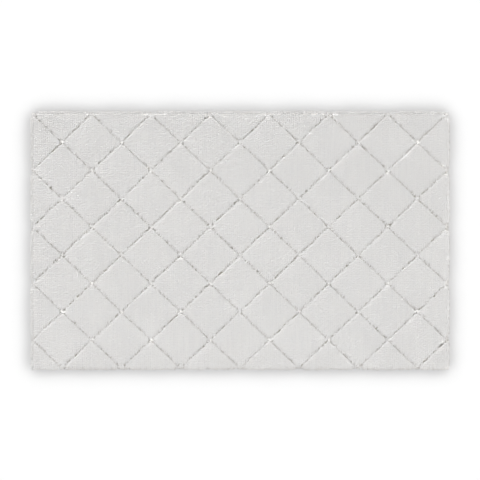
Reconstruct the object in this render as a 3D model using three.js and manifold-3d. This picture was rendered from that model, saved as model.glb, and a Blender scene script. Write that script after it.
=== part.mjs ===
// A tufted bath mat. Its cut pile stands in blocks, seven diamonds long and four and a half wide, on a
// ground cloth whose margins are folded under and stitched down. A poured anti-slip coating covers the
// underside and runs in between the two layers of the hem, and a care label is caught in one hem.
// Millimetres, +X along the mat, +Y across it towards its back edge, +Z up. The origin is on the floor,
// under the middle of the mat.

import * as THREE from "three";
import { mergeVertices } from "three/addons/utils/BufferGeometryUtils.js";
import Module from "manifold-3d";

// Overall size, measured over the pile
const MAT_LENGTH = 864;
const MAT_WIDTH = 533;
const CORNER_RADIUS = 10;

// Pile
const HALF_DIAMONDS_ALONG = 14; // even, so that both ends of the mat match
const HALF_DIAMONDS_ACROSS = 9; // odd, so that the front edge cuts the diamonds that the back edge leaves whole
const PILE_HEIGHT = 12;
const PILE_ROUNDING = 3; // chamfer round the top and the pinched foot of each block, under CORNER_RADIUS
const GROOVE = 5; // untufted strip between two blocks, square to it
const TIP_ROUNDING = 4; // how far from the tip of a diamond's flat top its rounding starts
const EDGE_ROW = 4; // the outermost row of tufts, which hangs over the folded edge

// Cloth, coating, seam and label
const CLOTH = 1; // one layer of ground cloth
const HEM_WIDTH = 14; // margin folded under
const FOLD = 1.5; // how far in from the edge the hem's two layers are one
const COATING_LIP = 0.5; // the coating's thickness in between the hem's layers
const COATING_CORNER = 3;
const THREAD_HEIGHT = 0.35;
const THREAD_WIDTH = 0.6;
const SEAM_INSET = 8; // from the folded edge to the middle of the seam
const SEAM_CORNER = 3; // radius of the seam's turns, to its middle
const LABEL_WIDTH = 36;
const LABEL_DROP = 48; // from the hem to the label's free end
const LABEL_THICKNESS = 0.5;
const LABEL_TAB = 4; // the part of the label that is caught in the hem
const LABEL_FROM_END = 130; // from the folded left edge to the middle of the label
const CLEARANCE = 0.3; // between pieces that touch

const ARC_STEPS = 3; // straight steps in each rounded corner
const BEYOND = 10; // how far a cutting block reaches past what it cuts

// The folded cloth sits inside the edge row, and the diamonds repeat exactly over it.
const clothLength = MAT_LENGTH - 2 * EDGE_ROW;
const clothWidth = MAT_WIDTH - 2 * EDGE_ROW;
const clothCorner = CORNER_RADIUS - EDGE_ROW;
const halfDiamondLength = clothLength / HALF_DIAMONDS_ALONG;
const halfDiamondWidth = clothWidth / HALF_DIAMONDS_ACROSS;

// Heights, from the floor up. The hem's layers stand apart far enough for the coating and for the label.
const slitHeight = Math.max(COATING_LIP, LABEL_THICKNESS) + 2 * CLEARANCE;
const clothBottom = CLOTH + slitHeight;
const coatingTop = clothBottom - CLEARANCE;
const clothTop = clothBottom + CLOTH;
const pileBase = clothTop + CLEARANCE;

const wasm = await Module();
wasm.setup();

// ---------------------------------------------------------------- materials

const cotton = new THREE.MeshStandardMaterial({ color: 0xe9e9e6, roughness: 0.95, metalness: 0 });
const canvas = new THREE.MeshStandardMaterial({ color: 0xdedbd2, roughness: 0.9, metalness: 0 });
const latex = new THREE.MeshStandardMaterial({ color: 0xe4dfd0, roughness: 0.6, metalness: 0 });
const sewingThread = new THREE.MeshStandardMaterial({ color: 0xf2f1ec, roughness: 0.6, metalness: 0 });
const satin = new THREE.MeshStandardMaterial({ color: 0xf4f4f2, roughness: 0.4, metalness: 0 });

// ------------------------------------------------------- outlines and solids

function roundedRectangle(length, width, radius) {
  const x = length / 2;
  const y = width / 2;
  const outline = new THREE.Shape();
  outline.moveTo(-x + radius, -y);
  outline.absarc(x - radius, -y + radius, radius, -Math.PI / 2, 0);
  outline.absarc(x - radius, y - radius, radius, 0, Math.PI / 2);
  outline.absarc(-x + radius, y - radius, radius, Math.PI / 2, Math.PI);
  outline.absarc(-x + radius, -y + radius, radius, Math.PI, (3 * Math.PI) / 2);
  outline.closePath();
  return outline;
}

// A diamond with its tips on the axes, each tip rounded off from TIP_ROUNDING away.
function diamondOutline(halfLength, halfWidth) {
  const tips = [
    new THREE.Vector2(halfLength, 0),
    new THREE.Vector2(0, halfWidth),
    new THREE.Vector2(-halfLength, 0),
    new THREE.Vector2(0, -halfWidth),
  ];
  const outline = new THREE.Shape();
  tips.forEach((tip, k) => {
    const before = tips[(k + 3) % 4];
    const after = tips[(k + 1) % 4];
    const start = tip.clone().add(before.clone().sub(tip).setLength(TIP_ROUNDING));
    const end = tip.clone().add(after.clone().sub(tip).setLength(TIP_ROUNDING));
    if (k === 0) outline.moveTo(start.x, start.y);
    else outline.lineTo(start.x, start.y);
    outline.quadraticCurveTo(tip.x, tip.y, end.x, end.y);
  });
  outline.closePath();
  return outline;
}

// A flat slab on z = 0 with that outline.
function slab(outline, height) {
  return new THREE.ExtrudeGeometry(outline, {
    depth: height,
    bevelEnabled: false,
    curveSegments: ARC_STEPS,
  });
}

// The same, chamfered all round at its top and its foot. The outline given is that of its flat top, and
// its sides stand PILE_ROUNDING further out.
function pad(topOutline, height) {
  const geometry = new THREE.ExtrudeGeometry(topOutline, {
    depth: height - 2 * PILE_ROUNDING,
    bevelThickness: PILE_ROUNDING,
    bevelSize: PILE_ROUNDING,
    bevelSegments: 1,
    curveSegments: ARC_STEPS,
  });
  return geometry.translate(0, 0, PILE_ROUNDING);
}

function box(low, high) {
  const size = high.map((value, k) => value - low[k]);
  const middle = high.map((value, k) => (value + low[k]) / 2);
  return new THREE.BoxGeometry(...size).translate(...middle);
}

function solid(geometry) {
  const bare = geometry.clone();
  bare.deleteAttribute("normal");
  bare.deleteAttribute("uv");
  const merged = mergeVertices(bare, 1e-4);
  return new wasm.Manifold(
    new wasm.Mesh({
      numProp: 3,
      vertProperties: merged.attributes.position.array,
      triVerts: new Uint32Array(merged.index.array),
    }),
  );
}

function geometryOf(made) {
  const mesh = made.getMesh();
  const indexed = new THREE.BufferGeometry();
  indexed.setAttribute("position", new THREE.BufferAttribute(mesh.vertProperties, 3));
  indexed.setIndex(new THREE.BufferAttribute(mesh.triVerts, 1));
  const flatShaded = indexed.toNonIndexed();
  flatShaded.computeVertexNormals();
  return flatShaded;
}

function piece(name, geometry, material) {
  const mesh = new THREE.Mesh(geometry, material);
  mesh.name = name;
  return mesh;
}

// ---------------------------------------------------------- the cut pile

// Column 0 is the left edge of the cloth and row 0 is its back edge. A diamond is centred where the two
// numbers add up to an odd one, and four diamonds meet at a corner where they add up to an even one.
function latticePoint(column, row) {
  return {
    x: (column - HALF_DIAMONDS_ALONG / 2) * halfDiamondLength,
    y: (HALF_DIAMONDS_ACROSS / 2 - row) * halfDiamondWidth,
  };
}

function diamondBlock() {
  const side = Math.hypot(halfDiamondLength, halfDiamondWidth);
  const centreToSide = (halfDiamondLength * halfDiamondWidth) / side;
  const share = 1 - (GROOVE / 2 + PILE_ROUNDING) / centreToSide;
  return pad(diamondOutline(halfDiamondLength * share, halfDiamondWidth * share), PILE_HEIGHT);
}

function wholeDiamonds(diamond) {
  const pile = new THREE.Group();
  for (let row = 1; row < HALF_DIAMONDS_ACROSS; row++) {
    let number = 0;
    for (let column = 1; column < HALF_DIAMONDS_ALONG; column++) {
      if ((column + row) % 2 === 0) continue;
      number += 1;
      const block = piece(`pile_row${row}_diamond${number}`, diamond, cotton);
      const { x, y } = latticePoint(column, row);
      block.position.set(x, y, pileBase);
      pile.add(block);
    }
  }
  return pile;
}

// The diamonds that an edge of the mat cuts, joined by their stretch of the edge row. Each stretch is
// given by two of its corners, as [x, y], and the mat's own outline trims it on the outside.
function edgePile(name, block, outline, stretches, centres) {
  const rows = stretches.map(([low, high]) =>
    solid(box([...low, -BEYOND], [...high, PILE_HEIGHT + BEYOND])),
  );
  const diamonds = centres.map(([column, row]) => {
    const { x, y } = latticePoint(column, row);
    return block.translate([x, y, 0]);
  });
  const joined = wasm.Manifold.union([...rows, ...diamonds]);
  const pile = piece(name, geometryOf(joined.intersect(outline)), cotton);
  pile.position.z = pileBase;
  return pile;
}

function edgePiles(diamond) {
  const block = solid(diamond);
  const topLength = MAT_LENGTH - 2 * PILE_ROUNDING;
  const topWidth = MAT_WIDTH - 2 * PILE_ROUNDING;
  const top = roundedRectangle(topLength, topWidth, CORNER_RADIUS - PILE_ROUNDING);
  const outline = solid(pad(top, PILE_HEIGHT));

  // Where the edge row begins, how far out the stretches reach, and where one stretch ends and the
  // next begins: the back one at the cloth's back edge, the front one at the last corner of the lattice.
  const rowX = clothLength / 2;
  const rowY = clothWidth / 2;
  const farX = rowX + EDGE_ROW + BEYOND;
  const farY = rowY + EDGE_ROW + BEYOND;
  const sideBack = rowY - CLEARANCE;
  const lastCorner = latticePoint(0, HALF_DIAMONDS_ACROSS - 1).y;
  const sideFront = lastCorner + CLEARANCE / 2;
  const frontBack = lastCorner - CLEARANCE / 2;

  const cutRows = [];
  for (let row = 1; row < HALF_DIAMONDS_ACROSS; row += 2) cutRows.push(row);
  const backColumns = [];
  const frontColumns = [];
  for (let column = 0; column <= HALF_DIAMONDS_ALONG; column++) {
    (column % 2 ? backColumns : frontColumns).push(column);
  }

  const edges = new THREE.Group();
  edges.add(
    edgePile("pile_edge_back", block, outline,
      [[[-farX, rowY], [farX, farY]]],
      backColumns.map((column) => [column, 0])),
    edgePile("pile_edge_front", block, outline,
      [
        [[-farX, -farY], [farX, -rowY]],
        [[-farX, -farY], [-rowX, frontBack]],
        [[rowX, -farY], [farX, frontBack]],
      ],
      frontColumns.map((column) => [column, HALF_DIAMONDS_ACROSS])),
    edgePile("pile_edge_left", block, outline,
      [[[-farX, sideFront], [-rowX, sideBack]]],
      cutRows.map((row) => [0, row])),
    edgePile("pile_edge_right", block, outline,
      [[[rowX, sideFront], [farX, sideBack]]],
      cutRows.map((row) => [HALF_DIAMONDS_ALONG, row])),
  );
  return edges;
}

// ------------------------------------- ground cloth, coating, thread and label

const pocketLength = clothLength - 2 * HEM_WIDTH;
const pocketWidth = clothWidth - 2 * HEM_WIDTH;
const slitLength = clothLength - 2 * FOLD;
const slitWidth = clothWidth - 2 * FOLD;
const slitCorner = clothCorner - FOLD;

// A ring round the hem, centred on the seam line.
function seamRing(width, height) {
  const [outer, inner] = [width / 2, -width / 2].map((out) =>
    roundedRectangle(
      clothLength - 2 * (SEAM_INSET - out),
      clothWidth - 2 * (SEAM_INSET - out),
      SEAM_CORNER + out,
    ),
  );
  outer.holes.push(inner);
  return slab(outer, height);
}

// One sheet: the top layer, the folded edge and the hem underneath, with the seam's dimple along it.
function groundCloth() {
  const whole = solid(slab(roundedRectangle(clothLength, clothWidth, clothCorner), clothTop));
  const pocket = solid(
    slab(roundedRectangle(pocketLength, pocketWidth, COATING_CORNER), clothBottom + BEYOND)
      .translate(0, 0, -BEYOND),
  );
  const slit = solid(
    slab(roundedRectangle(slitLength, slitWidth, slitCorner), slitHeight).translate(0, 0, CLOTH),
  );
  const dimple = solid(
    seamRing(THREAD_WIDTH + 2 * CLEARANCE, THREAD_HEIGHT + CLEARANCE + BEYOND).translate(0, 0, -BEYOND),
  );
  const cloth = whole.subtract(pocket).subtract(slit).subtract(dimple);
  return piece("ground_cloth", geometryOf(cloth), canvas);
}

function hemThread() {
  return piece("hem_thread", seamRing(THREAD_WIDTH, THREAD_HEIGHT), sewingThread);
}

// The label's place: its middle along the hem, and the hem's inner edge that it comes out of.
const labelX = -clothLength / 2 + LABEL_FROM_END;
const hemEdge = -clothWidth / 2 + HEM_WIDTH;
const labelRoot = hemEdge + CLEARANCE;
const tabBottom = CLOTH + CLEARANCE;

// Side view of the label: a tab between the hem's layers, a step down past the hem, and the flat drop.
function careLabel() {
  const side = new THREE.Shape();
  side.moveTo(hemEdge - LABEL_TAB, tabBottom);
  side.lineTo(labelRoot, tabBottom);
  side.lineTo(labelRoot, 0);
  side.lineTo(labelRoot + LABEL_DROP, 0);
  side.lineTo(labelRoot + LABEL_DROP, LABEL_THICKNESS);
  side.lineTo(labelRoot + LABEL_THICKNESS, LABEL_THICKNESS);
  side.lineTo(labelRoot + LABEL_THICKNESS, tabBottom + LABEL_THICKNESS);
  side.lineTo(hemEdge - LABEL_TAB, tabBottom + LABEL_THICKNESS);
  side.closePath();
  const alongX = new THREE.Matrix4().makeBasis(
    new THREE.Vector3(0, 1, 0),
    new THREE.Vector3(0, 0, 1),
    new THREE.Vector3(1, 0, 0),
  );
  const label = piece("care_label", slab(side, LABEL_WIDTH).applyMatrix4(alongX), satin);
  label.position.x = labelX - LABEL_WIDTH / 2;
  return label;
}

// The coating fills the pocket inside the hem, and a thinner lip of it runs in between the hem's layers.
// It is left out round the label's tab, and dented where the label lies against it.
function antiSlipCoating() {
  const middle = solid(
    slab(
      roundedRectangle(pocketLength - 2 * CLEARANCE, pocketWidth - 2 * CLEARANCE, COATING_CORNER - CLEARANCE),
      coatingTop,
    ),
  );
  const lip = solid(
    slab(
      roundedRectangle(slitLength - 2 * CLEARANCE, slitWidth - 2 * CLEARANCE, slitCorner - CLEARANCE),
      COATING_LIP,
    ).translate(0, 0, coatingTop - COATING_LIP),
  );
  const left = labelX - LABEL_WIDTH / 2 - CLEARANCE;
  const right = labelX + LABEL_WIDTH / 2 + CLEARANCE;
  const tabWindow = box(
    [left, hemEdge - LABEL_TAB - CLEARANCE, -BEYOND],
    [right, labelRoot + LABEL_THICKNESS + CLEARANCE, BEYOND],
  );
  const dent = box(
    [left, hemEdge, -BEYOND],
    [right, labelRoot + LABEL_DROP + CLEARANCE, LABEL_THICKNESS + CLEARANCE],
  );
  const coating = middle.add(lip).subtract(solid(tabWindow)).subtract(solid(dent));
  return piece("anti_slip_coating", geometryOf(coating), latex);
}

// ---------------------------------------------------------------- assembly

const diamond = diamondBlock();
const mat = new THREE.Group();
mat.add(antiSlipCoating(), groundCloth(), hemThread(), careLabel());
mat.add(wholeDiamonds(diamond), edgePiles(diamond));

export default mat;
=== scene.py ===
# %% [markdown]
# A white bath mat, tufted in diamonds.
# The solid model of the mat is already built and packed: a slab for each block of pile, the folded ground
# cloth, the anti-slip coating, the seam and the label, all in metres with +Z up. Here each soft slab is
# replaced by what it stands for, in the same place: real tufts of yarn, a folded sheet of cloth, single
# stitches and a ribbon. We read the places from the model, so nothing has to be fitted by eye.

# %% Load the frame
import math

import bpy
import numpy as np
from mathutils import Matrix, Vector, noise


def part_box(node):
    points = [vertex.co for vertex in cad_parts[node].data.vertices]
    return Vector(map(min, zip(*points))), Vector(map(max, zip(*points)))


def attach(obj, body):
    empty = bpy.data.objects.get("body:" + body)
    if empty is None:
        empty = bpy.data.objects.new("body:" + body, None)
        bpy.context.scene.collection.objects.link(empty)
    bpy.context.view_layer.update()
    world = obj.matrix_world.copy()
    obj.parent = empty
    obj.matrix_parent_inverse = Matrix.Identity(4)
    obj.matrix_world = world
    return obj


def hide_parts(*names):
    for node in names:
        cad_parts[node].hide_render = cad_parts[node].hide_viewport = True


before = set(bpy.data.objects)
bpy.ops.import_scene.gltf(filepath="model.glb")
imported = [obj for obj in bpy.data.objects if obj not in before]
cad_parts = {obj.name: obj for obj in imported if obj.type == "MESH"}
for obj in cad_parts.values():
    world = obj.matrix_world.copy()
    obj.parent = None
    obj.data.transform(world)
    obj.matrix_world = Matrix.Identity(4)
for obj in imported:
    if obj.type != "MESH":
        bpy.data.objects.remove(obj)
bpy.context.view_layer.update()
MM = 0.001

cloth_low, cloth_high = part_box("ground_cloth")
pile_names = sorted(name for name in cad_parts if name.startswith("pile_"))
pile_low = np.min([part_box(name)[0] for name in pile_names], axis=0)
pile_high = np.max([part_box(name)[1] for name in pile_names], axis=0)
print("cloth", [round(side / MM, 1) for side in cloth_high - cloth_low], "mm")
print("pile", np.round((pile_high - pile_low) / MM, 1), "mm, in", len(pile_names), "pieces")

# %% [markdown]
# Three small helpers carry the whole script. Colour charts give colours as sRGB hex values, but Blender's
# shaders work in linear light, so one function turns a hex value into linear colour. Another adds a node to
# any tree, sets it up and links it in a single call, which keeps each tree as short as its recipe. The last
# starts a material with its shader.

# %% Colours and nodes


def linear(hex_colour):
    """An sRGB hex value such as "F4F3F0" as the linear colour that shaders use."""
    channels = [int(hex_colour[k : k + 2], 16) / 255 for k in (0, 2, 4)]
    lit = [c / 12.92 if c <= 0.04045 else ((c + 0.055) / 1.055) ** 2.4 for c in channels]
    return (*lit, 1.0)


def add_node(tree, kind, inputs=None, **settings):
    """Adds a node, sets its properties and fills its inputs: a node's first output or a socket is linked,
    and a value is typed in."""
    node = tree.nodes.new(kind)
    for name, value in settings.items():
        setattr(node, name, value)
    for key, value in (inputs or {}).items():
        if isinstance(value, bpy.types.Node):
            value = value.outputs[0]
        if isinstance(value, bpy.types.NodeSocket):
            tree.links.new(value, node.inputs[key])
        else:
            node.inputs[key].default_value = value
    return node


def new_material(name, finish):
    """A material with one Principled shader, whose own sockets hold the finish."""
    material = bpy.data.materials.new(name)
    material.use_nodes = True
    tree = material.node_tree
    tree.nodes.clear()
    shader = add_node(tree, "ShaderNodeBsdfPrincipled", finish)
    add_node(tree, "ShaderNodeOutputMaterial", {"Surface": shader.outputs["BSDF"]})
    return material, tree, shader


# %% [markdown]
# The pile is bleached cotton yarn, cut and steamed so that each end blooms into a soft brush. Cotton is
# matt, and light passes a little way through its fibres, so the shader gets some subsurface scattering and
# only a faint sheen. Our yarns are plain tubes, but a brush of fibres has no hard side, so the shading
# normal is tipped up towards that of the whole pile. Three things colour it. The tufting machine lays its
# rows side by side, and neighbouring cones of yarn never match exactly, which shows as faint stripes along
# the rows. Towards the roots the yarn is drawn darker and browner: painted shade deep in the pile and the
# grooves, in the brown of the unbleached cloth below. And a strip along the back and left edges is drawn a
# little grey: painted shade on edges that would otherwise stand out bright.

# %% Cotton pile
GAUGE = 4.0 * MM  # 5/32 inch between the tufting machine's rows
PILE_TOP = float(pile_high[2])
PILE_ROOT = float(cloth_high[2])
PAINTED_EDGE_SHADE = 7 * MM  # how wide the strip of painted shade is along the left and the back
PAINTED_EDGE_SHADE_FADE = 3 * MM  # and how wide its fade is
PAINTED_EDGE_SHADE_PAST = (float(pile_high[0]) - PAINTED_EDGE_SHADE, float(pile_high[1]) - PAINTED_EDGE_SHADE)
FIBRE_SOFTNESS = 1.3  # how much of straight up is mixed into a yarn's shading normal
ROW_SHADE_LENGTH = 60 * MM  # how far one shade runs along a row
PATCH = 70 * MM  # the size of the cloudier patches
PAINTED_ROOT_SHADE_TOP = PILE_TOP - 3 * MM  # the height above which no painted root shade shows
FIBRE = 0.5 * MM  # coarser than real fibres, so that their roughness shows


def cotton_pile():
    finish = {
        "Roughness": 0.95,
        "Specular IOR Level": 0.2,
        "Subsurface Weight": 0.6,
        "Subsurface Radius": (1.0, 0.95, 0.9),
        "Subsurface Scale": 2.0 * MM,
        "Sheen Weight": 0.15,
        "Sheen Roughness": 0.6,
    }
    material, tree, shader = new_material("bleached cotton cut pile", finish)
    place = add_node(tree, "ShaderNodeTexCoord").outputs["Object"]
    stretched = add_node(
        tree, "ShaderNodeMapping", {"Vector": place, "Scale": (1 / GAUGE, 1 / ROW_SHADE_LENGTH, 0)}
    )
    rows = add_node(
        tree, "ShaderNodeTexNoise", {"Vector": stretched, "Scale": 1.0, "Detail": 1.0, "Roughness": 0.5}
    )
    patches = add_node(tree, "ShaderNodeTexNoise", {"Vector": place, "Scale": 1 / PATCH, "Detail": 2.0})
    shade = add_node(
        tree,
        "ShaderNodeMix",
        {0: 0.4, "A": rows.outputs["Fac"], "B": patches.outputs["Fac"]},
        data_type="FLOAT",
    )
    whites = add_node(tree, "ShaderNodeValToRGB", {"Fac": shade})
    whites.color_ramp.elements[0].position = 0.3
    whites.color_ramp.elements[0].color = linear("F5F3F1")
    whites.color_ramp.elements[1].position = 0.7
    whites.color_ramp.elements[1].color = linear("FBF9F6")
    # painted shade: the yarn is drawn darker and browner towards its roots, deep in the pile and the grooves,
    # in the brown of the cloth
    height = add_node(tree, "ShaderNodeSeparateXYZ", {"Vector": place}).outputs["Z"]
    root_shade = add_node(
        tree,
        "ShaderNodeMapRange",
        {
            "Value": height,
            "From Min": PILE_ROOT,
            "From Max": PAINTED_ROOT_SHADE_TOP,
            "To Min": 1.0,
            "To Max": 0.0,
        },
    )
    root_shaded = add_node(
        tree,
        "ShaderNodeMix",
        {0: root_shade, "A": whites.outputs["Color"], "B": linear("968A7E")},
        data_type="RGBA",
    )
    # painted shade: the yarn is drawn greyer in a strip along the left and back edges
    past = add_node(
        tree,
        "ShaderNodeVectorMath",
        {0: place, 1: (-1, 1, 0), 2: (-PAINTED_EDGE_SHADE_PAST[0], -PAINTED_EDGE_SHADE_PAST[1], 0)},
        operation="MULTIPLY_ADD",
    )
    past = add_node(tree, "ShaderNodeSeparateXYZ", {"Vector": past}).outputs
    past = add_node(tree, "ShaderNodeMath", {0: past["X"], 1: past["Y"]}, operation="MAXIMUM")
    edge_shade = add_node(tree, "ShaderNodeMapRange", {"Value": past, "From Max": PAINTED_EDGE_SHADE_FADE, "To Max": 0.75})
    edge_shaded = add_node(
        tree, "ShaderNodeMix", {0: edge_shade, "A": root_shaded.outputs[2], "B": linear("DEDCDA")}, data_type="RGBA"
    )
    tree.links.new(edge_shaded.outputs[2], shader.inputs["Base Color"])
    fibres = add_node(tree, "ShaderNodeTexNoise", {"Vector": place, "Scale": 1 / FIBRE, "Detail": 1.0})
    facing = add_node(tree, "ShaderNodeNewGeometry").outputs["Normal"]
    softer = add_node(tree, "ShaderNodeVectorMath", {0: facing, 1: (0, 0, FIBRE_SOFTNESS)}, operation="ADD")
    softer = add_node(tree, "ShaderNodeVectorMath", {0: softer}, operation="NORMALIZE")
    bump = add_node(
        tree,
        "ShaderNodeBump",
        {"Height": fibres.outputs["Fac"], "Strength": 0.25, "Distance": 0.2 * MM, "Normal": softer},
    )
    tree.links.new(bump.outputs[0], shader.inputs["Normal"])
    return material


pile_material = cotton_pile()
print("pile rows every", GAUGE / MM, "mm, from", PILE_ROOT / MM, "to", round(PILE_TOP / MM, 2), "mm high")

# %% [markdown]
# Under the yarn of each block we want a body, so that no light leaks down between the tufts to the cloth.
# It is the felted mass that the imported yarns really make: pinched where it meets the cloth, fullest half way
# up and softly crowned. Every block here is convex, a whole diamond or a diamond that the mat's edge cuts,
# so one function can build them all. It looks out from the block's middle in many directions and asks how
# far away each side is. Taking the nearest side would give sharp corners; a power mean of all of them blends
# one side into the next, as yarn does. A little noise keeps the outline from looking machined. Along the
# mat's own edges the crown stays full nearly to the end, except at the front, where it is combed over and
# rolls off wide.

# %% The body of a block
HALF_DIAMONDS_ALONG = 14
HALF_DIAMONDS_ACROSS = 9
GROOVE = 4.7 * MM
TUFT_RISE = 3.4 * MM  # how far below the top of the pile the body's crown stays
NARROW = 3.0 * MM  # a block less than this from its middle to a side gets a smaller section
ROUND_POINTS = 72
SHARPNESS = 26  # higher makes sharper corners
SECTION = (  # a block's side, from its foot up: how far in, in mm, and what share of the way up
    (2.6, 0),
    (0.8, 0.25),
    (0.0, 0.5),
    (0.4, 0.74),
    (1.5, 0.88),
    (4.0, 0.92),
    (9.0, 0.957),
    (17, 0.984),
    (26, 1),
)
WAVER = 1.8 * MM  # how much an outline wavers in and out
WAVER_LENGTH = 9 * MM

FRINGE = 3.0 * MM  # how far the outermost yarn stands out past the body, all round the mat
NEAR_SIDE = 2 * MM  # a side of a block that is this near to the mat's own counts as lying on it
OUT_LEFT, OUT_RIGHT = float(pile_low[0]) + FRINGE, float(pile_high[0]) - FRINGE
OUT_FRONT, OUT_BACK = float(pile_low[1]) + FRINGE, float(pile_high[1]) - FRINGE
MAT_SIDES = ((0, OUT_LEFT, -1), (0, OUT_RIGHT, 1), (1, OUT_FRONT, -1), (1, OUT_BACK, 1))
SIDE_ROLLS = (0.4, 0.4, 2.4, 0.5)  # how wide the crown rolls off at each of them, next to a groove's 1

cloth_size = cloth_high - cloth_low
cloth_middle = (cloth_high + cloth_low) / 2
half_length = cloth_size.x / HALF_DIAMONDS_ALONG
half_width = cloth_size.y / HALF_DIAMONDS_ACROSS


def lattice_place(column, row):
    """Where a point of the lattice of grooves is: columns count from the left, rows from the back."""
    x = cloth_middle.x + (column - HALF_DIAMONDS_ALONG / 2) * half_length
    y = cloth_middle.y + (HALF_DIAMONDS_ACROSS / 2 - row) * half_width
    return x, y


def diamond_corners(column, row):
    """The diamond centred on a point of the lattice, drawn in by half a groove on each side."""
    x, y = lattice_place(column, row)
    share = 1 - GROOVE / 2 * math.hypot(half_length, half_width) / (half_length * half_width)
    a, b = half_length * share, half_width * share
    return [(x + a, y), (x, y + b), (x - a, y), (x, y - b)]


def clipped(corners, axis, limit, side):
    """What is left of a convex outline on one side of a line across an axis."""
    kept = []
    for k, here in enumerate(corners):
        there = corners[(k + 1) % len(corners)]
        in_here = (here[axis] - limit) * side <= 0
        in_there = (there[axis] - limit) * side <= 0
        if in_here:
            kept.append(here)
        if in_here != in_there:
            t = (limit - here[axis]) / (there[axis] - here[axis])
            kept.append(tuple(here[i] + t * (there[i] - here[i]) for i in (0, 1)))
    return kept


def side_planes(corners):
    """The direction and the distance of each side of a convex outline, seen from its middle."""
    middle = np.mean(corners, axis=0)
    directions, distances = [], []
    for k, here in enumerate(corners):
        side = np.subtract(corners[(k + 1) % len(corners)], here)
        outward = np.array((side[1], -side[0])) / np.hypot(*side)
        directions.append(math.atan2(outward[1], outward[0]))
        distances.append(outward @ (here - middle))
    return middle, np.array(directions), np.array(distances)


def block_body(corners, root, crown):
    """Rings of points from the pinched foot up to the crown, as vertices and faces."""
    middle, directions, distances = side_planes(corners)
    rise = crown - root
    rings = [(inset * MM, share * rise) for inset, share in SECTION]
    rolls = np.ones(len(distances))
    for (axis, limit, side), roll in zip(MAT_SIDES, SIDE_ROLLS):
        towards = np.stack((np.cos(directions), np.sin(directions)))[axis] * side
        gaps = np.abs(middle[axis] + side * distances - limit)
        rolls[(towards > 0.99) & (gaps < NEAR_SIDE)] = roll
    nearest = (distances / rolls).min()
    if nearest < NARROW:  # a plug is too narrow for the whole section, so its section shrinks with it
        rings = [(inset * nearest / NARROW, height) for inset, height in rings]
    rings = [(inset, height) for inset, height in rings if inset < 0.9 * nearest]
    angles = np.linspace(0, 2 * math.pi, ROUND_POINTS, endpoint=False)
    facing = np.maximum(np.cos(angles[:, None] - directions[None, :]), 0)
    vertices = []
    for inset, height in rings:
        reach = ((facing / (distances - inset * rolls)) ** SHARPNESS).sum(axis=1) ** (-1 / SHARPNESS)
        for angle, radius in zip(angles, reach):
            x, y = middle + radius * np.array((math.cos(angle), math.sin(angle)))
            waver = noise.noise(Vector((x, y, 0)) / WAVER_LENGTH) * WAVER
            share = 1 + waver / max(radius, 4 * WAVER)
            x, y = middle + (np.array((x, y)) - middle) * share
            vertices.append((x, y, root + height))
    faces = [list(range(ROUND_POINTS))[::-1]]
    for ring in range(len(rings) - 1):
        low, high = ring * ROUND_POINTS, (ring + 1) * ROUND_POINTS
        for k in range(ROUND_POINTS):
            after = (k + 1) % ROUND_POINTS
            faces.append((low + k, low + after, high + after, high + k))
    top = (len(rings) - 1) * ROUND_POINTS
    vertices.append((*middle, root + rings[-1][1] + 0.1 * MM))
    faces += [(top + k, top + (k + 1) % ROUND_POINTS, len(vertices) - 1) for k in range(ROUND_POINTS)]
    return vertices, faces


def mesh_object(name, vertices, faces):
    mesh = bpy.data.meshes.new(name)
    mesh.from_pydata([tuple(v) for v in vertices], [], faces)
    made = bpy.data.objects.new(name, mesh)
    bpy.context.scene.collection.objects.link(made)
    return made


print("half a diamond is", round(half_length / MM, 1), "by", round(half_width / MM, 1), "mm")

# %% [markdown]
# Which diamonds belong to which piece of pile? A whole diamond stands alone. The diamonds that an edge of
# the mat cuts are held together by the outermost row of tufts, which runs on across the ends of the
# grooves. There the yarn is shorter, so the edge looks gently scalloped from above. Only that short plug at
# each groove's end needs a body of its own, because elsewhere the row is one with the diamonds.

# %% The outlines in each piece
PLUG_DIP = 0.15  # how much shorter the yarn is at a groove's end, as a share of the pile
PLUG_DRAW = 1.4 * MM  # and how much further in it stands
PLUG_DEPTH = 5.5 * MM  # how far in it reaches
PLUG_HALF = 5.5 * MM  # half of its width
CLUMP_DIP = 0.03  # the same for the clump of yarn that closes a crossing of two grooves
CLUMP_HALF = 5.0 * MM


def within_mat(corners, draw=0):
    """The part of an outline that is inside the mat's own edges, drawn in by that much."""
    for axis, limit, side in MAT_SIDES:
        corners = clipped(corners, axis, limit - side * draw, side)
    return corners


def groove_plug(column, row):
    """The plug where a groove meets the mat's edge: a square clipped to a thin strip along that edge."""
    x, y = lattice_place(column, row)
    half = PLUG_HALF
    corners = [(x - half, y - half), (x + half, y - half), (x + half, y + half), (x - half, y + half)]
    corners = within_mat(corners, PLUG_DRAW)
    at_side = (column == 0, column == HALF_DIAMONDS_ALONG, row == HALF_DIAMONDS_ACROSS, row == 0)
    for touches, (axis, limit, side) in zip(at_side, MAT_SIDES):
        if touches:
            corners = clipped(corners, axis, limit - side * PLUG_DEPTH, -side)
    return corners


def crossing_clump(column, row):
    x, y = lattice_place(column, row)
    half = CLUMP_HALF
    return [(x + half, y), (x, y + half), (x - half, y), (x, y - half)]


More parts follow.
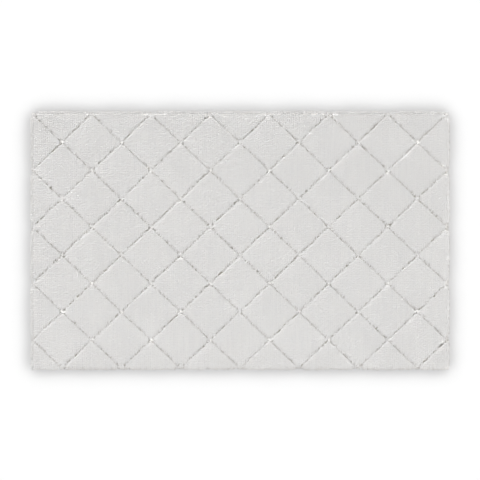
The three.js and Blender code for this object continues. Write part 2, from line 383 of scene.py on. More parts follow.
def piece_blocks(name):
    """The blocks that a piece of pile is made of, each with how much lower its crown is."""
    low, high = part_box(name)
    last, front = HALF_DIAMONDS_ALONG, HALF_DIAMONDS_ACROSS
    if "edge" not in name:
        column = round((low.x + high.x) / 2 / half_length + last / 2)
        row = round(front / 2 - (low.y + high.y) / 2 / half_width)
        centres, plugs = [(column, row)], []
    elif name.endswith("back"):
        centres = [(column, 0) for column in range(1, last, 2)]
        plugs = [(column, 0) for column in range(2, last, 2)]
    elif name.endswith("front"):
        centres = [(column, front) for column in range(0, last + 1, 2)]
        plugs = [(column, front) for column in range(1, last, 2)]
    else:
        column = 0 if name.endswith("left") else last
        centres = [(column, row) for row in range(1, front, 2)]
        plugs = [(column, row) for row in range(0, front, 2)]
    blocks = [(within_mat(diamond_corners(*centre)), 0) for centre in centres]
    blocks += [(groove_plug(*plug), PLUG_DIP) for plug in plugs]
    for column, row in centres:
        if 0 < column < last and row + 1 < front:
            blocks.append((crossing_clump(column, row + 1), CLUMP_DIP))
    return blocks


def pile_body(name):
    """One mesh object that holds the bodies of all the blocks in a piece of pile."""
    crown = PILE_TOP - TUFT_RISE
    vertices, faces = [], []
    for corners, dip in piece_blocks(name):
        more_vertices, more_faces = block_body(corners, PILE_ROOT, crown - dip * (crown - PILE_ROOT))
        faces += [[k + len(vertices) for k in face] for face in more_faces]
        vertices += more_vertices
    return mesh_object("yarn_" + name, vertices, faces)


bodies = {name: pile_body(name) for name in pile_names}
print("bodies:", sum(len(body.data.polygons) for body in bodies.values()), "faces")

# %% [markdown]
# Now the yarn. On the machine, a row of needles punches the tufts, one for each stitch of each row, so
# their places are a grid, and a grid is a rule: Geometry Nodes can lay it. We drop a grid of points onto
# the body with Raycast, keep the points that hit, and stand a tuft of six cut ends on each. The direction
# of a tuft mixes five things: straight up, away from the body where it rounds over, the way the pile was
# combed, outwards near the mat's edges, and chance. Two scatters of single yarns do the rest. On the flanks
# they lean the way the pile was combed and hang over the grooves. Along the mat's edges they stand out from
# the body as a dense brush, because there is no neighbour to hold them up.

# %% The tufting tree
YARN_SIDES = 3
YARN_TIP = 0.6  # how thick a yarn is at its tip, next to its foot
ENDS = 6
SPLAY = math.radians(8)  # how far the ends of a tuft lean apart
NEEDLE_SLACK = (0.5 * MM, 1.0 * MM, 0)  # how far a tuft is off its place, across and along a row
EDGE = 4.5 * MM  # how wide the strip along the mat's edges is, where the yarn fans outwards
WANDER_LENGTH = 60 * MM  # how far the combing keeps one direction
CLUMP_LENGTH = 9 * MM  # how far apart the clumps of yarn over a groove are
STEEP = 0.6  # a face that looks up less than this belongs to a flank
FACES_CLOTH = -0.9  # and one that looks up less than this lies on the cloth


def yarn_end(tree, length, radius, lean):
    """A cut end of yarn standing on the origin: a short tapering tube that leans a little."""
    drift = add_node(tree, "ShaderNodeMath", {0: length, 1: lean}, operation="MULTIPLY")
    end = add_node(tree, "ShaderNodeCombineXYZ", {"X": drift, "Z": length})
    spine = add_node(tree, "GeometryNodeCurvePrimitiveLine", {"Start": (0, 0, 0), "End": end})
    along = add_node(tree, "GeometryNodeSplineParameter").outputs["Factor"]
    taper = add_node(tree, "ShaderNodeFloatCurve", {"Value": along})
    taper.mapping.curves[0].points[0].location = (0, 1.0)
    taper.mapping.curves[0].points[1].location = (1, YARN_TIP)
    taper.mapping.update()
    section = add_node(
        tree, "GeometryNodeCurvePrimitiveCircle", {"Resolution": YARN_SIDES, "Radius": radius}
    )
    tube = add_node(
        tree, "GeometryNodeCurveToMesh", {"Curve": spine, "Profile Curve": section, "Fill Caps": True}
    )
    tree.links.new(taper.outputs[0], tube.inputs["Scale"])
    return tube


def ends_of_a_tuft(tree, yarn, spread):
    """Yarn ends round a point, splayed outwards."""
    ring = add_node(tree, "GeometryNodeMeshCircle", {"Vertices": ENDS, "Radius": spread})
    number = add_node(tree, "GeometryNodeInputIndex")
    turn = add_node(tree, "ShaderNodeMath", {0: number, 1: 2 * math.pi / ENDS}, operation="MULTIPLY")
    facing = add_node(tree, "ShaderNodeCombineXYZ", {"Y": SPLAY, "Z": turn})
    rotation = add_node(tree, "FunctionNodeEulerToRotation", {0: facing})
    tuft = add_node(
        tree, "GeometryNodeInstanceOnPoints", {"Points": ring, "Instance": yarn, "Rotation": rotation}
    )
    return add_node(tree, "GeometryNodeRealizeInstances", {0: tuft})


def random_value(tree, limits, kind, seed, offset):
    """A random value: a vector's limits are sockets 0 and 1 of the node, a number's 2 and 3."""
    own_seed = add_node(tree, "ShaderNodeMath", {0: seed, 1: offset}, operation="ADD")
    return add_node(tree, "FunctionNodeRandomValue", {**limits, "Seed": own_seed}, data_type=kind).outputs


def scatter_vector(tree, size, seed, offset):
    """A random vector with each part up to size either way."""
    limits = {0: (-size, -size, -size), 1: (size, size, size)}
    return random_value(tree, limits, "FLOAT_VECTOR", seed, offset)[0]


def random_number(tree, low, high, seed, offset):
    return random_value(tree, {2: low, 3: high}, "FLOAT", seed, offset)[1]


def standing(tree, direction, seed, offset):
    """A rotation that stands a tuft up along a direction after a random turn about itself."""
    turn = random_number(tree, 0.0, 2 * math.pi, seed, offset)
    spun = add_node(tree, "FunctionNodeAxisAngleToRotation", {"Axis": (0, 0, 1), "Angle": turn})
    return add_node(
        tree, "FunctionNodeAlignRotationToVector", {"Rotation": spun, "Vector": direction}, axis="Z"
    )


def mixed(tree, *parts):
    """The sum of some vectors, each times its share."""
    total = (0, 0, 0)
    for vector, share in parts:
        inputs = {0: vector, 1: (share, share, share), 2: total}
        total = add_node(tree, "ShaderNodeVectorMath", inputs, operation="MULTIPLY_ADD")
    return total


def all_of(tree, first, *others):
    """True only where every one of the selections is."""
    for other in others:
        first = add_node(tree, "FunctionNodeBooleanMath", {0: first, 1: other}, operation="AND")
    return first


def single_yarns(tree, given, selection, spacing, outward, lean, scales, offset):
    """Single yarns scattered over some of the body's faces, part of the way along their normals."""
    spots = add_node(
        tree,
        "GeometryNodeDistributePointsOnFaces",
        {
            "Mesh": given["Body"],
            "Selection": selection,
            "Distance Min": spacing,
            "Density Max": 1e6,
            "Seed": given["Seed"],
        },
        distribute_method="POISSON",
    ).outputs
    chance = scatter_vector(tree, 0.2, given["Seed"], offset)
    way = mixed(tree, (spots["Normal"], outward), (lean, 1), (chance, 1))
    yarns = add_node(
        tree,
        "GeometryNodeInstanceOnPoints",
        {
            "Points": spots["Points"],
            "Instance": yarn_end(tree, given["Flank length"], given["Yarn radius"], 0.3),
            "Rotation": standing(tree, way, given["Seed"], offset + 1),
            "Scale": random_number(tree, *scales, given["Seed"], offset + 2),
        },
    )
    return yarns.outputs[0]


def tufting_tree():
    tree = bpy.data.node_groups.new("tufting", "GeometryNodeTree")
    sockets = tree.interface
    sockets.new_socket("Body", in_out="INPUT", socket_type="NodeSocketGeometry")
    for kind, names in (
        ("Float", ("Gauge", "Stitch", "Tuft length", "Flank length", "Yarn radius")),
        ("Float", ("Tuft spread", "Flank spacing", "Edge spacing")),
        ("Int", ("Rows", "Stitches", "Seed")),
        ("Vector", ("Grid middle", "Comb", "Inner half")),
    ):
        for name in names:
            sockets.new_socket(name, in_out="INPUT", socket_type="NodeSocket" + kind)
    sockets.new_socket("Yarn", in_out="INPUT", socket_type="NodeSocketMaterial")
    sockets.new_socket("Pile", in_out="OUTPUT", socket_type="NodeSocketGeometry")
    given = add_node(tree, "NodeGroupInput").outputs
    seed = given["Seed"]

    # The needle grid, with a little slack in every place
    sides = []
    for count, spacing in (("Rows", "Gauge"), ("Stitches", "Stitch")):
        gaps = add_node(tree, "ShaderNodeMath", {0: given[count], 1: 1.0}, operation="SUBTRACT")
        side = add_node(tree, "ShaderNodeMath", {0: gaps, 1: given[spacing]}, operation="MULTIPLY")
        sides.append(side)
    grid = add_node(
        tree,
        "GeometryNodeMeshGrid",
        {
            "Size X": sides[0],
            "Size Y": sides[1],
            "Vertices X": given["Rows"],
            "Vertices Y": given["Stitches"],
        },
    )
    placed = add_node(
        tree,
        "ShaderNodeVectorMath",
        {0: scatter_vector(tree, 1.0, seed, 1), 1: NEEDLE_SLACK, 2: given["Grid middle"]},
        operation="MULTIPLY_ADD",
    )
    needles = add_node(tree, "GeometryNodeSetPosition", {"Geometry": grid, "Offset": placed})

    # Dropped onto the body, keeping what hits it
    drop = add_node(
        tree,
        "GeometryNodeRaycast",
        {"Target Geometry": given["Body"], "Ray Direction": (0, 0, -1), "Ray Length": 0.1},
    )
    caught = add_node(tree, "GeometryNodeCaptureAttribute", {"Geometry": needles})
    for kind, name, output in (
        ("VECTOR", "Spot", "Hit Position"), ("VECTOR", "Away", "Hit Normal"), ("BOOLEAN", "Hit", "Is Hit")
    ):
        caught.capture_items.new(kind, name)
        tree.links.new(drop.outputs[output], caught.inputs[name])
    landed = add_node(
        tree, "GeometryNodeSetPosition", {"Geometry": caught, "Position": caught.outputs["Spot"]}
    )
    missed = add_node(tree, "FunctionNodeBooleanMath", {0: caught.outputs["Hit"]}, operation="NOT")
    tufts_at = add_node(tree, "GeometryNodeDeleteGeometry", {"Geometry": landed, "Selection": missed})

    # Outwards: nothing over most of the mat, growing to one across the strip along its edges
    place = add_node(tree, "GeometryNodeInputPosition")
    from_middle = add_node(tree, "ShaderNodeVectorMath", {0: place}, operation="ABSOLUTE")
    past = add_node(
        tree, "ShaderNodeVectorMath", {0: from_middle, 1: given["Inner half"]}, operation="SUBTRACT"
    )
    past = add_node(tree, "ShaderNodeVectorMath", {0: past, 1: (0, 0, 0)}, operation="MAXIMUM")
    side = add_node(tree, "ShaderNodeVectorMath", {0: place}, operation="SIGN")
    outwards = add_node(tree, "ShaderNodeVectorMath", {0: past, 1: side}, operation="MULTIPLY")
    outwards = mixed(tree, (outwards, 1 / EDGE))

    # The combing wanders a little over the mat, as a hand leaves it
    wander = add_node(
        tree, "ShaderNodeTexNoise", {"Vector": place, "Scale": 1 / WANDER_LENGTH, "Detail": 1.0}
    ).outputs["Color"]
    tuft_way = mixed(
        tree,
        (caught.outputs["Away"], 0.85),
        ((0, 0, 1), 0.3),
        (given["Comb"], 1),
        (outwards, 0.4),
        (wander, 0.3),
        ((1, 1, 1), -0.15),  # which brings the middle of the wandering to nothing
        (scatter_vector(tree, 0.08, seed, 2), 1),
    )
    yarn = yarn_end(tree, given["Tuft length"], given["Yarn radius"], 0.15)
    tufts = add_node(
        tree,
        "GeometryNodeInstanceOnPoints",
        {
            "Points": tufts_at,
            "Instance": ends_of_a_tuft(tree, yarn, given["Tuft spread"]),
            "Rotation": standing(tree, tuft_way, seed, 3),
            "Scale": random_number(tree, 0.92, 1.08, seed, 4),
        },
    )

    how_far = add_node(tree, "ShaderNodeVectorMath", {0: outwards}, operation="LENGTH").outputs["Value"]
    at_edge = add_node(tree, "FunctionNodeCompare", {0: how_far, 1: 0.0}, operation="GREATER_THAN")
    inside = add_node(tree, "FunctionNodeBooleanMath", {0: at_edge}, operation="NOT")

    # The flanks: single yarns on the steep faces of the body, which lean over the grooves
    facing = add_node(tree, "GeometryNodeInputNormal")
    facing_up = add_node(tree, "ShaderNodeSeparateXYZ", {"Vector": facing}).outputs["Z"]
    steep = add_node(tree, "FunctionNodeCompare", {0: facing_up, 1: STEEP}, operation="LESS_THAN")
    off_cloth = add_node(
        tree, "FunctionNodeCompare", {0: facing_up, 1: FACES_CLOTH}, operation="GREATER_THAN"
    )
    clumps = add_node(
        tree, "ShaderNodeTexNoise", {"Vector": place, "Scale": 1 / CLUMP_LENGTH, "Detail": 1.0}
    ).outputs["Color"]
    clumps = mixed(tree, (clumps, 1.5), ((1, 1, 1), -0.75))
    over_groove = mixed(tree, ((0, 0, 1), 1), (given["Comb"], 1.5), (clumps, 1))
    flank = all_of(tree, steep, off_cloth, inside)
    flanks = single_yarns(tree, given, flank, given["Flank spacing"], 0.15, over_groove, (0.8, 1.2), 5)

    # The edge: a denser brush that stands out from the body all round the mat
    fanned = mixed(tree, ((0, 0, 1), 0.5), (outwards, 1), (clumps, 0.4))
    edge = all_of(tree, off_cloth, at_edge)
    fringe = single_yarns(tree, given, edge, given["Edge spacing"], 0.5, fanned, (0.5, 0.75), 8)

    joined = add_node(tree, "GeometryNodeJoinGeometry")
    for part in (given["Body"], tufts.outputs[0], flanks, fringe):
        tree.links.new(part, joined.inputs[0])
    real = add_node(tree, "GeometryNodeRealizeInstances", {0: joined})
    smooth = add_node(tree, "GeometryNodeSetShadeSmooth", {"Geometry": real})
    dyed = add_node(tree, "GeometryNodeSetMaterial", {"Geometry": smooth, "Material": given["Yarn"]})
    add_node(tree, "NodeGroupOutput", {0: dyed})
    return tree


tufting = tufting_tree()
print("tufting tree:", len(tufting.nodes), "nodes")

# %% [markdown]
# The grid has to run on from block to block, or the rows would jog at each groove. So every block takes its
# points from one lattice of rows and stitches for the whole mat, and asks only for the part over itself.

# %% Tuft every block
STITCH = 3.5 * MM  # from one tuft of a row to the next
GRID_RISE = 10 * MM  # how high over the pile the needle grid starts
COMB = (-0.5, -0.65, 0)  # the pile leans to the left and the front
INNER_HALF = (OUT_RIGHT - EDGE, OUT_BACK - EDGE, 1.0)


def grid_over(low, high):
    """The stretch of the mat's own grid that covers a box: its middle, its rows and its stitches."""
    counts, middle = [], []
    for axis, spacing in ((0, GAUGE), (1, STITCH)):
        first = math.floor(low[axis] / spacing)
        last = math.ceil(high[axis] / spacing)
        counts.append(last - first + 1)
        middle.append((first + last) / 2 * spacing)
    return (*middle, PILE_TOP + GRID_RISE), *counts


def set_inputs(modifier, values):
    """Sets a modifier's inputs by their socket identifiers."""
    for item in modifier.node_group.interface.items_tree:
        if item.in_out == "INPUT" and item.name in values:
            modifier[item.identifier] = values[item.name]


def made_plain(objects):
    """Evaluates the objects once, keeps the results as plain meshes and drops the modifiers."""
    depsgraph = bpy.context.evaluated_depsgraph_get()
    for made in objects:
        mesh = bpy.data.meshes.new_from_object(made.evaluated_get(depsgraph), depsgraph=depsgraph)
        made.modifiers.clear()
        made.data = mesh
        mesh.name = made.name


MAP_SLANTS = (0.33, 0.47)  # how far height shifts a place along the map and across it


def slanted_map(made):
    """A map seen slantwise from above, so that neither flat nor upright faces vanish in it."""
    mesh = made.data
    layer = mesh.uv_layers.get("OFBake") or mesh.uv_layers.new(name="OFBake")
    places = np.empty(len(mesh.vertices) * 3)
    mesh.vertices.foreach_get("co", places)
    places = places.reshape(-1, 3)
    flat = places[:, :2] + np.outer(places[:, 2], MAP_SLANTS)
    flat = (flat - flat.min(axis=0)) / np.ptp(flat, axis=0).max() * 0.98 + 0.01
    corner_vertices = np.empty(len(mesh.loops), dtype=np.int32)
    mesh.loops.foreach_get("vertex_index", corner_vertices)
    layer.data.foreach_set("uv", flat[corner_vertices].ravel())


for number, (name, body) in enumerate(bodies.items()):
    low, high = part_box(name)
    middle, rows, stitches = grid_over(low, high)
    modifier = body.modifiers.new("tufting", "NODES")
    modifier.node_group = tufting
    set_inputs(
        modifier,
        {
            "Gauge": GAUGE,
            "Stitch": STITCH,
            "Tuft length": 5.0 * MM,
            "Flank length": 6.6 * MM,
            "Yarn radius": 1.0 * MM,
            "Tuft spread": 1.3 * MM,
            "Flank spacing": 2.3 * MM,
            "Edge spacing": 1.25 * MM,
            "Rows": rows,
            "Stitches": stitches,
            "Seed": 10 * number,
            "Grid middle": middle,
            "Comb": COMB,
            "Inner half": INNER_HALF,
            "Yarn": pile_material,
        },
    )
made_plain(bodies.values())
for name, body in bodies.items():
    slanted_map(body)
    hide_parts(name)
    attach(body, "root")
sizes = [len(body.data.loops) - 2 * len(body.data.polygons) for body in bodies.values()]
print("pile:", sum(sizes), "triangles, at most", max(sizes), "in one piece")

# %% [markdown]
# The ground cloth is one sheet of plain-woven canvas. Its margins are folded under, so its edge is a round
# fold and its underside has a hem. A sheet like this is the same all the way round, so we draw the section
# through its edge once, as a list of insets and heights, and repeat that outline ring by ring. The weave is
# far finer than the folds and lies in the material: two sets of threads a millimetre apart, one over, one
# under.

# %% Ground cloth
CLOTH = 1.0 * MM
HEM = 14 * MM
SEAM_INSET = 8 * MM
SEAM_DENT = 0.25 * MM
CLOTH_CORNER = 6 * MM
UPPER_SHEET = 18 * MM  # how far in the folded margin's section ends and the plain sheet goes on
ROUND_STEP = 3.2 * MM
ARC_STEPS = 5
CANVAS_THREAD = 1.0 * MM
SLUB = 4 * MM  # how long the thicker stretches of a thread are


def round_the_cloth(inset, corner):
    """Points round the mat, that far in from the cloth's edge: always as many."""
    x, y = cloth_size.x / 2 - inset, cloth_size.y / 2 - inset
    along, across = (round(side / ROUND_STEP) for side in (cloth_size.x, cloth_size.y))
    points = []
    for k, (sign_x, sign_y) in enumerate(((1, 1), (-1, 1), (-1, -1), (1, -1))):
        middle = np.array((sign_x * (x - corner), sign_y * (y - corner)))
        for t in np.linspace(0, math.pi / 2, ARC_STEPS + 1):
            angle = k * math.pi / 2 + t
            points.append(middle + corner * np.array((math.cos(angle), math.sin(angle))))
        if k % 2 == 0:
            end = np.array((-points[-1][0], points[-1][1]))
        else:
            end = np.array((points[-1][0], -points[-1][1]))
        steps = across if k % 2 else along
        start = points[-1]
        points += [start + (end - start) * t for t in np.linspace(0, 1, steps + 1)[1:-1]]
    return points


def folded_edge():
    """The section through the cloth's edge, from the top face round the fold to the slit's ceiling."""
    outer = cloth_high.z / 2
    inner = outer - CLOTH
    over = [(UPPER_SHEET, cloth_high.z), (6 * MM, cloth_high.z)]
    over += [(outer - outer * math.sin(t), outer + outer * math.cos(t)) for t in np.linspace(0, math.pi, 8)]
    under = [
        (SEAM_INSET - 1.2 * MM, 0),
        (SEAM_INSET - 0.6 * MM, SEAM_DENT),
        (SEAM_INSET + 0.6 * MM, SEAM_DENT),
        (SEAM_INSET + 1.2 * MM, 0),
        (HEM - 0.4 * MM, 0),
        (HEM, 0.3 * MM),
        (HEM, CLOTH - 0.3 * MM),
        (HEM - 0.4 * MM, CLOTH),
    ]
    back = [(outer - inner * math.sin(t), outer + inner * math.cos(t)) for t in np.linspace(math.pi, 0, 5)]
    return over + under + back + [(UPPER_SHEET, cloth_high.z - CLOTH)]


def wave_scale(period):
    """The scale at which a wave texture's bands repeat every period: its own are 2 pi / 20 apart."""
    return 2 * math.pi / 20 / period


def canvas():
    finish = {"Roughness": 0.9, "Specular IOR Level": 0.25}
    material, tree, shader = new_material("unbleached cotton canvas, plain weave", finish)
    place = add_node(tree, "ShaderNodeTexCoord").outputs["Object"]
    threads = [
        add_node(
            tree,
            "ShaderNodeTexWave",
            {"Vector": place, "Scale": wave_scale(CANVAS_THREAD), "Distortion": 0.3},
            bands_direction=direction,
        ).outputs["Fac"]
        for direction in ("X", "Y")
    ]
    weave = add_node(tree, "ShaderNodeMath", {0: threads[0], 1: threads[1]}, operation="MULTIPLY")
    slubs = add_node(tree, "ShaderNodeTexNoise", {"Vector": place, "Scale": 1 / SLUB})
    tone = add_node(
        tree,
        "ShaderNodeMix",
        {0: slubs.outputs["Fac"], "A": linear("E2DDD5"), "B": linear("F0EDE8")},
        data_type="RGBA",
    )
    shadow = add_node(
        tree, "ShaderNodeMix", {0: weave, "A": linear("C9C3B9"), "B": tone.outputs[2]}, data_type="RGBA"
    )
    tree.links.new(shadow.outputs[2], shader.inputs["Base Color"])
    bump = add_node(tree, "ShaderNodeBump", {"Height": weave, "Strength": 0.8, "Distance": 0.3 * MM})
    tree.links.new(bump.outputs[0], shader.inputs["Normal"])
    return material


section = folded_edge()
cloth_vertices, cloth_faces = [], []
for inset, height in section:
    ring = round_the_cloth(inset, max(CLOTH_CORNER - inset, 0.4 * MM))
    cloth_vertices += [(x, y, height) for x, y in ring]
count = len(cloth_vertices) // len(section)
cloth_faces.append(list(range(count)))
cloth_faces.append(list(range((len(section) - 1) * count, len(section) * count))[::-1])
for ring in range(len(section) - 1):
    near, far = ring * count, (ring + 1) * count
    cloth_faces += [
        (near + k, far + k, far + (k + 1) % count, near + (k + 1) % count) for k in range(count)
    ]
ground_cloth = mesh_object("canvas_ground_cloth", cloth_vertices, cloth_faces)
ground_cloth.data.shade_smooth()
ground_cloth.data.materials.append(canvas())
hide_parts("ground_cloth")
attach(ground_cloth, "root")

# %% [markdown]
# A lockstitch shows as a line of short, separate stitches that sink into the cloth at each needle hole. The
# stitch is one small shape that follows a path, so again Geometry Nodes set it: the path becomes points a
# stitch apart, and each point turns its stitch along the seam.

# %% Hem seam
STITCH_LENGTH = 3.2 * MM
THREAD = 0.7 * MM
PROUD = 0.1 * MM  # how far the stitches stand out of the hem
PLY = 0.8 * MM  # from one turn of the twisted thread to the next


def spun_thread():
    material, tree, shader = new_material("spun polyester sewing thread", {"Roughness": 0.55})
    place = add_node(tree, "ShaderNodeTexCoord").outputs["Object"]
    plies = add_node(tree, "ShaderNodeTexNoise", {"Vector": place, "Scale": 1 / PLY})
    tone = add_node(
        tree,
        "ShaderNodeMix",
        {0: plies.outputs["Fac"], "A": linear("EFEDE8"), "B": linear("FCFCFA")},
        data_type="RGBA",
    )
    tree.links.new(tone.outputs[2], shader.inputs["Base Color"])
    return material


def lockstitch_tree():
    tree = bpy.data.node_groups.new("lockstitch", "GeometryNodeTree")
    sockets = tree.interface
    sockets.new_socket("Path", in_out="INPUT", socket_type="NodeSocketGeometry")
    for name in ("Stitch length", "Thread"):
        sockets.new_socket(name, in_out="INPUT", socket_type="NodeSocketFloat")
    sockets.new_socket("Finish", in_out="INPUT", socket_type="NodeSocketMaterial")
    sockets.new_socket("Seam", in_out="OUTPUT", socket_type="NodeSocketGeometry")
    given = add_node(tree, "NodeGroupInput").outputs
    path = add_node(tree, "GeometryNodeMeshToCurve", {"Mesh": given["Path"]})
    places = add_node(
        tree, "GeometryNodeCurveToPoints", {"Curve": path, "Length": given["Stitch length"]}, mode="LENGTH"
    )
    bead = add_node(tree, "GeometryNodeMeshUVSphere", {"Segments": 6, "Rings": 5, "Radius": 0.5})
    length = add_node(tree, "ShaderNodeMath", {0: given["Stitch length"], 1: 0.92}, operation="MULTIPLY")
    size = add_node(tree, "ShaderNodeCombineXYZ", {"X": given["Thread"], "Y": given["Thread"], "Z": length})
    stitches = add_node(
        tree,
        "GeometryNodeInstanceOnPoints",
        {
            "Points": places.outputs["Points"],
            "Instance": bead,
            "Rotation": places.outputs["Rotation"],
            "Scale": size,
        },
    )
    real = add_node(tree, "GeometryNodeRealizeInstances", {0: stitches})
    smooth = add_node(tree, "GeometryNodeSetShadeSmooth", {"Geometry": real})
    dyed = add_node(tree, "GeometryNodeSetMaterial", {"Geometry": smooth, "Material": given["Finish"]})
    add_node(tree, "NodeGroupOutput", {0: dyed})
    return tree


seam_inset = cloth_high.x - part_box("hem_thread")[1].x + THREAD / 2
seam_points = [(x, y, THREAD / 2 - PROUD) for x, y in round_the_cloth(seam_inset, 3 * MM)]
seam_mesh = bpy.data.meshes.new("seam")
count = len(seam_points)
seam_mesh.from_pydata(seam_points, [(k, (k + 1) % count) for k in range(count)], [])
seam = bpy.data.objects.new("lockstitch_hem_seam", seam_mesh)
bpy.context.scene.collection.objects.link(seam)
modifier = seam.modifiers.new("lockstitch", "NODES")
modifier.node_group = lockstitch_tree()
set_inputs(modifier, {"Stitch length": STITCH_LENGTH, "Thread": THREAD, "Finish": spun_thread()})
made_plain([seam])
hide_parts("hem_thread")
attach(seam, "root")
print("seam:", len(seam.data.polygons), "faces")

# %% [markdown]
# The care label is a length of satin ribbon, blank here, caught in the hem by one end. A ribbon is a thin
# sheet that bends only one way, so its side view is all we need to draw: out of the slit in the hem, an
# easy step down past the hem's edge, then flat against the coating. A grid follows that line and Solidify
# gives it its thickness.

# %% Care label
RIBBON = 0.3 * MM
SATIN_RIB = 1.2 * MM  # drawn coarser than satin's own ribs, so that they show
STEP = (3 * MM, 8 * MM)  # where the step down starts and ends, from the end in the hem
label_low, label_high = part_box("care_label")


def ribbon_satin():
    finish = {"Roughness": 0.35, "Sheen Weight": 0.3}
    material, tree, shader = new_material("white satin ribbon", finish)
    place = add_node(tree, "ShaderNodeTexCoord").outputs["Object"]
    ribs = add_node(
        tree, "ShaderNodeTexWave", {"Vector": place, "Scale": wave_scale(SATIN_RIB)}, bands_direction="Y"
    )
    # painted shade: each rib is drawn darker in its dip, where the bump lies low
    tone = add_node(
        tree,
        "ShaderNodeMix",
        {0: ribs.outputs["Fac"], "A": linear("E9E9E7"), "B": linear("F8F8F7")},
        data_type="RGBA",
    )
    tree.links.new(tone.outputs[2], shader.inputs["Base Color"])
    bump = add_node(
        tree, "ShaderNodeBump", {"Height": ribs.outputs["Fac"], "Strength": 0.2, "Distance": 0.1 * MM}
    )
    tree.links.new(bump.outputs[0], shader.inputs["Normal"])
    return material


def ribbon_height(y):
    """How high the ribbon runs: in the slit, down the step, then flat."""
    step_start, step_end = (label_low.y + place for place in STEP)
    t = min(max((y - step_start) / (step_end - step_start), 0), 1)
    high, low = label_high.z - RIBBON, RIBBON * 0.75
    return low + (high - low) * (1 + math.cos(math.pi * t)) / 2


stepped_rows = np.linspace(label_low.y, label_low.y + 10 * MM, 21)
flat_rows = np.linspace(label_low.y + 12 * MM, label_high.y, 16)
ribbon_rows = np.concatenate((stepped_rows, flat_rows))
ribbon_columns = np.linspace(label_low.x, label_high.x, 13)
ribbon_vertices = [(x, y, ribbon_height(y)) for y in ribbon_rows for x in ribbon_columns]
across = len(ribbon_columns)
ribbon_faces = [
    (row * across + k, row * across + k + 1, (row + 1) * across + k + 1, (row + 1) * across + k)
    for row in range(len(ribbon_rows) - 1)
    for k in range(across - 1)
]
care_label = mesh_object("ribbon_care_label", ribbon_vertices, ribbon_faces)
care_label.data.shade_smooth()
care_label.data.materials.append(ribbon_satin())
thickness = care_label.modifiers.new("thickness", "SOLIDIFY")
thickness.thickness = RIBBON
thickness.offset = 0
made_plain([care_label])
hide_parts("care_label")
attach(care_label, "root")

# %% [markdown]
# The coating is natural latex, poured on and cured in an oven. It takes the shape of what it lies on, and
# that shape is already right in the solid model, so it keeps its own mesh and only needs its finish:
# creamy, clouded and a little glossy, with the fine pimples of a foamed rubber, and painted shade in the
# hollows between them.

# %% Anti-slip coating
PIMPLE = 3.0 * MM  # from one pimple of the foam to the next
CLOUD = 30 * MM  # the size of the clouds that pouring leaves in its colour


def foamed_latex():
    material, tree, shader = new_material("poured natural latex", {"Roughness": 0.5, "IOR": 1.52})
    place = add_node(tree, "ShaderNodeTexCoord").outputs["Object"]
    pimples = add_node(
        tree, "ShaderNodeTexVoronoi", {"Vector": place, "Scale": 1 / PIMPLE, "Randomness": 0.55}
    )
    clouds = add_node(tree, "ShaderNodeTexNoise", {"Vector": place, "Scale": 1 / CLOUD, "Detail": 4.0})
    tone = add_node(
        tree,
        "ShaderNodeMix",
        {0: clouds.outputs["Fac"], "A": linear("D3CBB6"), "B": linear("EDE9DE")},
        data_type="RGBA",
    )
    # painted shade: the latex is drawn darker in the hollows between the pimples
    hollow_shade = add_node(
        tree,
        "ShaderNodeMapRange",
        {"Value": pimples.outputs["Distance"], "From Min": 0.35, "From Max": 0.75},
    )
    shade = add_node(
        tree, "ShaderNodeMix", {0: hollow_shade, "A": tone.outputs[2], "B": linear("BDB59F")}, data_type="RGBA"
    )
    tree.links.new(shade.outputs[2], shader.inputs["Base Color"])
    bump = add_node(
        tree,
        "ShaderNodeBump",
        {"Height": pimples.outputs["Distance"], "Strength": 0.8, "Distance": 0.6 * MM},
        invert=True,
    )
    tree.links.new(bump.outputs[0], shader.inputs["Normal"])
    return material


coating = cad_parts["anti_slip_coating"]
coating.data.materials.clear()
coating.data.materials.append(foamed_latex())
print("coating", [round(side / MM, 1) for side in coating.dimensions], "mm")

# %% [markdown]
# The floor is a sweep of white paper in a white room. One large soft lamp, high up beyond the back left
# corner, gives each diamond its bright and its dark edges. A wide one overhead evens the pile out, so that it
# isn't too bright when seen from the lamp's own side, and a weak, low one on the right fills in the edge that
# both leave dark. The floor has lamps of its own, a ring of low strip lights: the mat stops their beams near
# its sides, so a soft shadow follows its outline all round. Light linking keeps each lamp to what it is for.
# The floor is hidden from diffuse rays, or so much white paper would light the mat's sides from below and
# they would lose their shade.

# %% Floor, light and camera
paper = {"Base Color": linear("EEEEEE"), "Roughness": 1.0, "Specular IOR Level": 0.0}
floor_material = new_material("white paper", paper)[0]
FLOOR_HALF = 4.0  # metres
FLOOR_LEVEL = -0.3 * MM
floor_signs = ((-1, -1), (1, -1), (1, 1), (-1, 1))
floor_corners = [(x * FLOOR_HALF, y * FLOOR_HALF, FLOOR_LEVEL) for x, y in floor_signs]
floor = mesh_object("floor", floor_corners, [(0, 1, 2, 3)])
floor.data.materials.append(floor_material)
floor.visible_diffuse = False

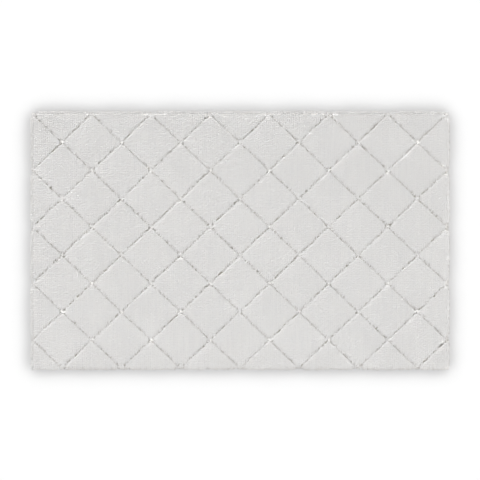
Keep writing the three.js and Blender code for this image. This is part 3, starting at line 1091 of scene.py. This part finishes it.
sky = bpy.data.worlds.new("white room")
sky.use_nodes = True
sky.node_tree.nodes["Background"].inputs["Color"].default_value = (1, 1, 1, 1)
sky.node_tree.nodes["Background"].inputs["Strength"].default_value = 0.53
bpy.context.scene.world = sky

lit_by_lamp = bpy.data.collections.new("lit by the lamp")
for made in (*bodies.values(), ground_cloth, seam, care_label, coating):
    lit_by_lamp.objects.link(made)


def soft_lamp(name, energy, degrees_wide, beam, receivers):
    """A distant lamp with a wide, soft disc, which lights only one collection."""
    lamp_data = bpy.data.lights.new(name, "SUN")
    lamp_data.angle = math.radians(degrees_wide)
    lamp_data.energy = energy
    lamp = bpy.data.objects.new(name, lamp_data)
    lamp.rotation_euler = Vector(beam).to_track_quat("-Z", "Y").to_euler()
    bpy.context.scene.collection.objects.link(lamp)
    lamp.light_linking.receiver_collection = receivers


soft_lamp("soft lamp", 2.6, 30, (0.88, -1.02, -1.8), lit_by_lamp)
soft_lamp("overhead lamp", 1.15, 140, (0.0, 0.0, -1.0), lit_by_lamp)
soft_lamp("low fill lamp", 1.6, 30, (-1.0, 0.2, -0.2), lit_by_lamp)

STRIP_LIGHTS = 8
STRIP_HEIGHT = math.radians(28)  # above the horizon
STRIP_LIGHT = 2.06  # what all of them together give the floor
lit_by_strips = bpy.data.collections.new("lit by the strip lights")
lit_by_strips.objects.link(floor)
strip_energy = STRIP_LIGHT / STRIP_LIGHTS / math.sin(STRIP_HEIGHT)
for k in range(STRIP_LIGHTS):
    turn = k * 2 * math.pi / STRIP_LIGHTS
    beam = (math.cos(turn), math.sin(turn), -math.tan(STRIP_HEIGHT))
    soft_lamp("strip light", strip_energy, 30, beam, lit_by_strips)

FRAME_WIDTH = 0.992  # metres across the view
FRAME_LEVEL = 8 * MM  # the height at which the view is that wide
camera_data = bpy.data.cameras.new("camera")  # its long lens looks straight down on the whole mat
camera_data.lens = 250
camera = bpy.data.objects.new("camera", camera_data)
camera.location = (0, 1 * MM, FRAME_WIDTH * camera_data.lens / camera_data.sensor_width + FRAME_LEVEL)
bpy.context.scene.collection.objects.link(camera)
bpy.context.scene.camera = camera
bpy.context.scene.view_settings.view_transform = "Standard"
print("camera", round(camera.location.z, 3), "m up")
